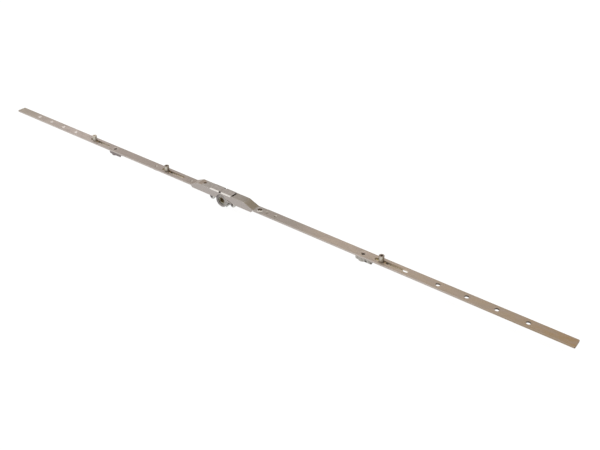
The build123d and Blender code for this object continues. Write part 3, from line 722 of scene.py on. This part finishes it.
rivet_heads("lap_rivet_heads", LAP_PLACES, LAP_HEAD)
rivet_heads("guide_rivet_head", GUIDE_PLACES, GUIDE_HEAD)


# Screw supports. Small zinc castings under the fixing holes, riveted into the strip by four tabs.
# Each carries the rod in a channel and the fixing screw in its round boss. The left one is duller,
# and painted shade darkens the steps of the right one.
SUPPORT_DULL = (0.235, 0.200, 0.200, 1.0)
SUPPORT_TONE = (0.420, 0.400, 0.365, 1.0)
SUPPORT_TAB = (0.420, 0.380, 0.340, 1.0)
SUPPORT_CLOUD_SHARE = 0.35
STEP_SHADE_SHARE = 0.65
SUPPORT_EDGE = 0.00025
SUPPORTS_APART = 0.1
SUPPORT_TOP = 0.0049
STEP_SHADE_PLACES = (         # left, right and softness along X, and the levels where it thins out
    (0.2668, 0.2680, 0.0005, 0.0044, 0.0050),
    (0.2680, 0.2705, 0.0005, 0.0008, 0.0014),
    (0.2760, 0.2800, 0.0008, 0.0018, 0.0026),
)
SUPPORT_GRAIN_SCALE = 3000.0
SUPPORT_CLOUD_SCALE = 320.0

support_cast, bare, place, (x, y, z) = finish("support_cast")
grain = bare.noise(place, SUPPORT_GRAIN_SCALE, roughness=0.6)
clouds = bare.noise(place, SUPPORT_CLOUD_SCALE)
tone = x.clear_of(-SUPPORTS_APART, SUPPORTS_APART).tint(SUPPORT_DULL, SUPPORT_TONE)
colour = (clouds.clear_of(0.40, 0.65) * SUPPORT_CLOUD_SHARE).tint(tone, SHADE_AND_MOTTLE_DARK)
# Painted shade on the low steps of the right support.
step_shade = 0
for left, right, soft, low, high in STEP_SHADE_PLACES:
    step_shade = step_shade + x.within(left, right, soft) * (1 - z.clear_of(low, high))
colour = (step_shade * STEP_SHADE_SHARE).tint(colour, CAST_SHADE)
colour = z.clear_of(SUPPORT_TOP, SUPPORT_TOP + 0.0002).tint(colour, SUPPORT_TAB)
roughness = 0.32 + grain * 0.16
metal(support_cast, bare, colour, roughness, grain + clouds, CAST_RELIEF)
for node in ("screw_support_left", "screw_support_right"):
    softened(node, SUPPORT_EDGE, support_cast)


# Cam pins. Turned steel pins riveted in the rod so that a hexagon key turns them. The eccentric
# head stands in the roller. The left pin is still pale and the other two are brown, and painted
# shade darkens the recess of each, least in the left pin.
PIN_TONE = (0.300, 0.245, 0.205, 1.0)
PIN_PALE = (0.760, 0.690, 0.600, 1.0)
PIN_RECESS_SHADE = (0.260, 0.200, 0.140, 1.0)
LEFT_PIN_SHADE_SHARE = 0.2
OTHER_PINS_SHADE_SHARE = 0.5
PIN_EDGE = 0.00012
RECESS_LOW = 0.0155
RECESS_TOP = 0.0163
HANDLED_LOW = -0.25
HANDLED_HIGH = -0.20
PIN_GRAIN_SCALE = 2200.0
PIN_RELIEF = 0.00001
PIN_METALLIC = 0.6

pin_steel, bare, place, (x, y, z) = finish("pin_steel")
grain = bare.noise(place, PIN_GRAIN_SCALE, detail=2.0)
# Painted shade in the hexagon recess, least in the left pin.
inside = 1 - z.clear_of(RECESS_LOW, RECESS_TOP)
handled = x.clear_of(HANDLED_LOW, HANDLED_HIGH)
grease_and_shade = inside * (LEFT_PIN_SHADE_SHARE + handled * OTHER_PINS_SHADE_SHARE)
colour = grease_and_shade.tint(handled.tint(PIN_PALE, PIN_TONE), PIN_RECESS_SHADE)
roughness = 0.34 + grain * 0.1
metal(pin_steel, bare, colour, roughness, grain, PIN_RELIEF, metallic=PIN_METALLIC)
for name in ("left", "middle", "right"):
    softened("cam_pin_" + name, PIN_EDGE, pin_steel)


# Cam rollers. Turned rings of zinc plated steel that run along the striker plates. The passivation
# gives them a light tan tint, and the running face has fine turning marks round it. The side
# Painted shade darkens each roller on its side towards +X and +Y, least on the left roller.
ROLLER_TONE = (0.530, 0.495, 0.430, 1.0)
ROLLER_DEEP = (0.450, 0.420, 0.360, 1.0)
ROLLER_PALE = (0.560, 0.500, 0.430, 1.0)
ROLLER_RIM = (0.330, 0.280, 0.225, 1.0)
ROLLER_SHADE = (0.190, 0.150, 0.110, 1.0)
LEFT_ROLLER_SHADE_SHARE = 0.4
OTHER_ROLLERS_SHADE_SHARE = 0.45
ROLLER_EDGE = 0.0004
ROLLER_TOP = 0.0165
ROLLER_REACH = 0.005
ROLLER_SHADE_EAST = 0.72
ROLLER_SHADE_NORTH = 0.69
ROLLER_SHADE_START = 0.0026
ROLLER_SHADE_END = 0.0060
ROLLER_SHADE_SOFT = 0.0012
TURNING_MARKS = (60.0, 60.0, 4200.0)
ROLLER_CLOUD_SCALE = 300.0
ROLLER_RELIEF = 0.000012

roller_zinc, bare, place, (x, y, z) = finish("roller_zinc")
turning = bare.noise(bare.stretched(place, TURNING_MARKS), 1.0, roughness=0.6)
clouds = bare.noise(place, ROLLER_CLOUD_SCALE, detail=2.0)
colour = clouds.clear_of(0.3, 0.7).tint(ROLLER_TONE, ROLLER_DEEP)
handled = x.clear_of(HANDLED_LOW, HANDLED_HIGH)
roller_shade_share = LEFT_ROLLER_SHADE_SHARE + handled * OTHER_ROLLERS_SHADE_SHARE
for centre in CAM_PLACES:
    along = x - centre
    # Painted shade on one side of each roller.
    roller_side_shade = (along * ROLLER_SHADE_EAST + y * ROLLER_SHADE_NORTH).within(ROLLER_SHADE_START, ROLLER_SHADE_END, ROLLER_SHADE_SOFT)
    roller_side_shade = roller_side_shade * (1 - abs(along).clear_of(ROLLER_REACH, ROLLER_REACH + 0.001))
    colour = (roller_side_shade * roller_shade_share).tint(colour, ROLLER_SHADE)
rim = handled.tint(ROLLER_PALE, ROLLER_RIM)
colour = z.clear_of(ROLLER_TOP - 0.0003, ROLLER_TOP - 0.0001).tint(colour, rim)
roughness = 0.26 + turning * 0.14
metal(roller_zinc, bare, colour, roughness, turning, ROLLER_RELIEF)
for name in ("left", "middle", "right"):
    softened("cam_roller_" + name, ROLLER_EDGE, roller_zinc)


# Studio. A white table under the part, and a soft sky that is brightest overhead and has a dark
# flag high behind the part. A large lamp hangs above, one stands in front and one at the left, and
# the camera is at the photograph's place.
FLOOR_LEVEL = -0.0131
FLOOR_HALF = 6.0
PAPER_TONE = (0.10, 0.10, 0.10, 1.0)
PAPER_ROUGHNESS = 0.9
PAPER_SPECULAR = 0.1
PAPER_GLOW = (1.0, 1.0, 1.0, 1.0)
PAPER_GLOW_STRENGTH = 0.94
SKY_BEHIND = [          # height in the sky, tone there
    (0.0, (0.90, 0.88, 0.86, 1.0)), (0.35, (0.86, 0.83, 0.81, 1.0)),
    (0.60, (0.74, 0.70, 0.66, 1.0)), (0.72, (0.36, 0.31, 0.24, 1.0)),
    (0.78, (0.60, 0.55, 0.50, 1.0)), (0.84, (1.30, 1.28, 1.25, 1.0)),
    (1.0, (1.5, 1.5, 1.5, 1.0)),
]
SKY_FRONT = [
    (0.0, (0.95, 0.95, 0.96, 1.0)), (0.5, (0.55, 0.52, 0.50, 1.0)),
    (0.8, (0.9, 0.9, 0.9, 1.0)), (1.0, (1.5, 1.5, 1.5, 1.0)),
]
FRONT_END = -0.1
BEHIND_START = 0.3
LAMPS = (               # name, place, size and power
    ("overhead", (-0.2, 0.1, 1.6), 1.6, 6.0),
    ("front", (0.2, -1.6, 1.0), 1.2, 2.5),
    ("left", (-1.5, -0.9, 0.5), 1.0, 3.0),
)
CAMERA_PLACE = (0.7151, -0.7378, 0.6254)
CAMERA_TURN = (56.503, 0.103, 37.418)
CAMERA_LENS = 45.56
CAMERA_SENSOR = 36.0
CAMERA_NEAR = 0.01

floor_mesh = bpy.data.meshes.new("studio_floor")
corners = [(-FLOOR_HALF, -FLOOR_HALF), (FLOOR_HALF, -FLOOR_HALF),
           (FLOOR_HALF, FLOOR_HALF), (-FLOOR_HALF, FLOOR_HALF)]
floor_mesh.from_pydata([(a, b, FLOOR_LEVEL) for a, b in corners], [], [(0, 1, 2, 3)])
floor = bpy.data.objects.new("studio_floor", floor_mesh)
bpy.context.scene.collection.objects.link(floor)
paper = bpy.data.materials.new("studio_paper")
paper.use_nodes = True
shader = paper.node_tree.nodes["Principled BSDF"]
shader.inputs["Base Color"].default_value = PAPER_TONE
shader.inputs["Roughness"].default_value = PAPER_ROUGHNESS
shader.inputs["Specular IOR Level"].default_value = PAPER_SPECULAR
shader.inputs["Emission Color"].default_value = PAPER_GLOW
shader.inputs["Emission Strength"].default_value = PAPER_GLOW_STRENGTH
floor_mesh.materials.append(paper)

world = bpy.data.worlds.new("studio_sky")
world.use_nodes = True
bpy.context.scene.world = world
sky = Wire(world.node_tree)
direction = sky.node("ShaderNodeTexCoord", out=0)
across, up = [sky.node("ShaderNodeSeparateXYZ", None, {0: direction}, out=i) for i in (1, 2)]
behind = up.ramp(SKY_BEHIND)
front = up.ramp(SKY_FRONT)
colour = across.clear_of(FRONT_END, BEHIND_START).tint(front, behind)
background = world.node_tree.nodes["Background"]
world.node_tree.links.new(colour.socket, background.inputs["Color"])

for name, place, size, power in LAMPS:
    lamp = bpy.data.lights.new(name, "AREA")
    lamp.size = size
    lamp.energy = power
    holder = bpy.data.objects.new(name, lamp)
    bpy.context.scene.collection.objects.link(holder)
    holder.location = place
    holder.rotation_mode = "QUATERNION"
    holder.rotation_quaternion = (-Vector(place)).to_track_quat("-Z", "Y")

camera = bpy.data.cameras.new("photo_camera")
camera.lens = CAMERA_LENS
camera.sensor_width = CAMERA_SENSOR
camera.sensor_fit = "HORIZONTAL"
camera.clip_start = CAMERA_NEAR
photographer = bpy.data.objects.new("photo_camera", camera)
bpy.context.scene.collection.objects.link(photographer)
photographer.location = CAMERA_PLACE
photographer.rotation_euler = [radians(turn) for turn in CAMERA_TURN]
bpy.context.scene.camera = photographer
bpy.context.scene.view_settings.view_transform = "Standard"
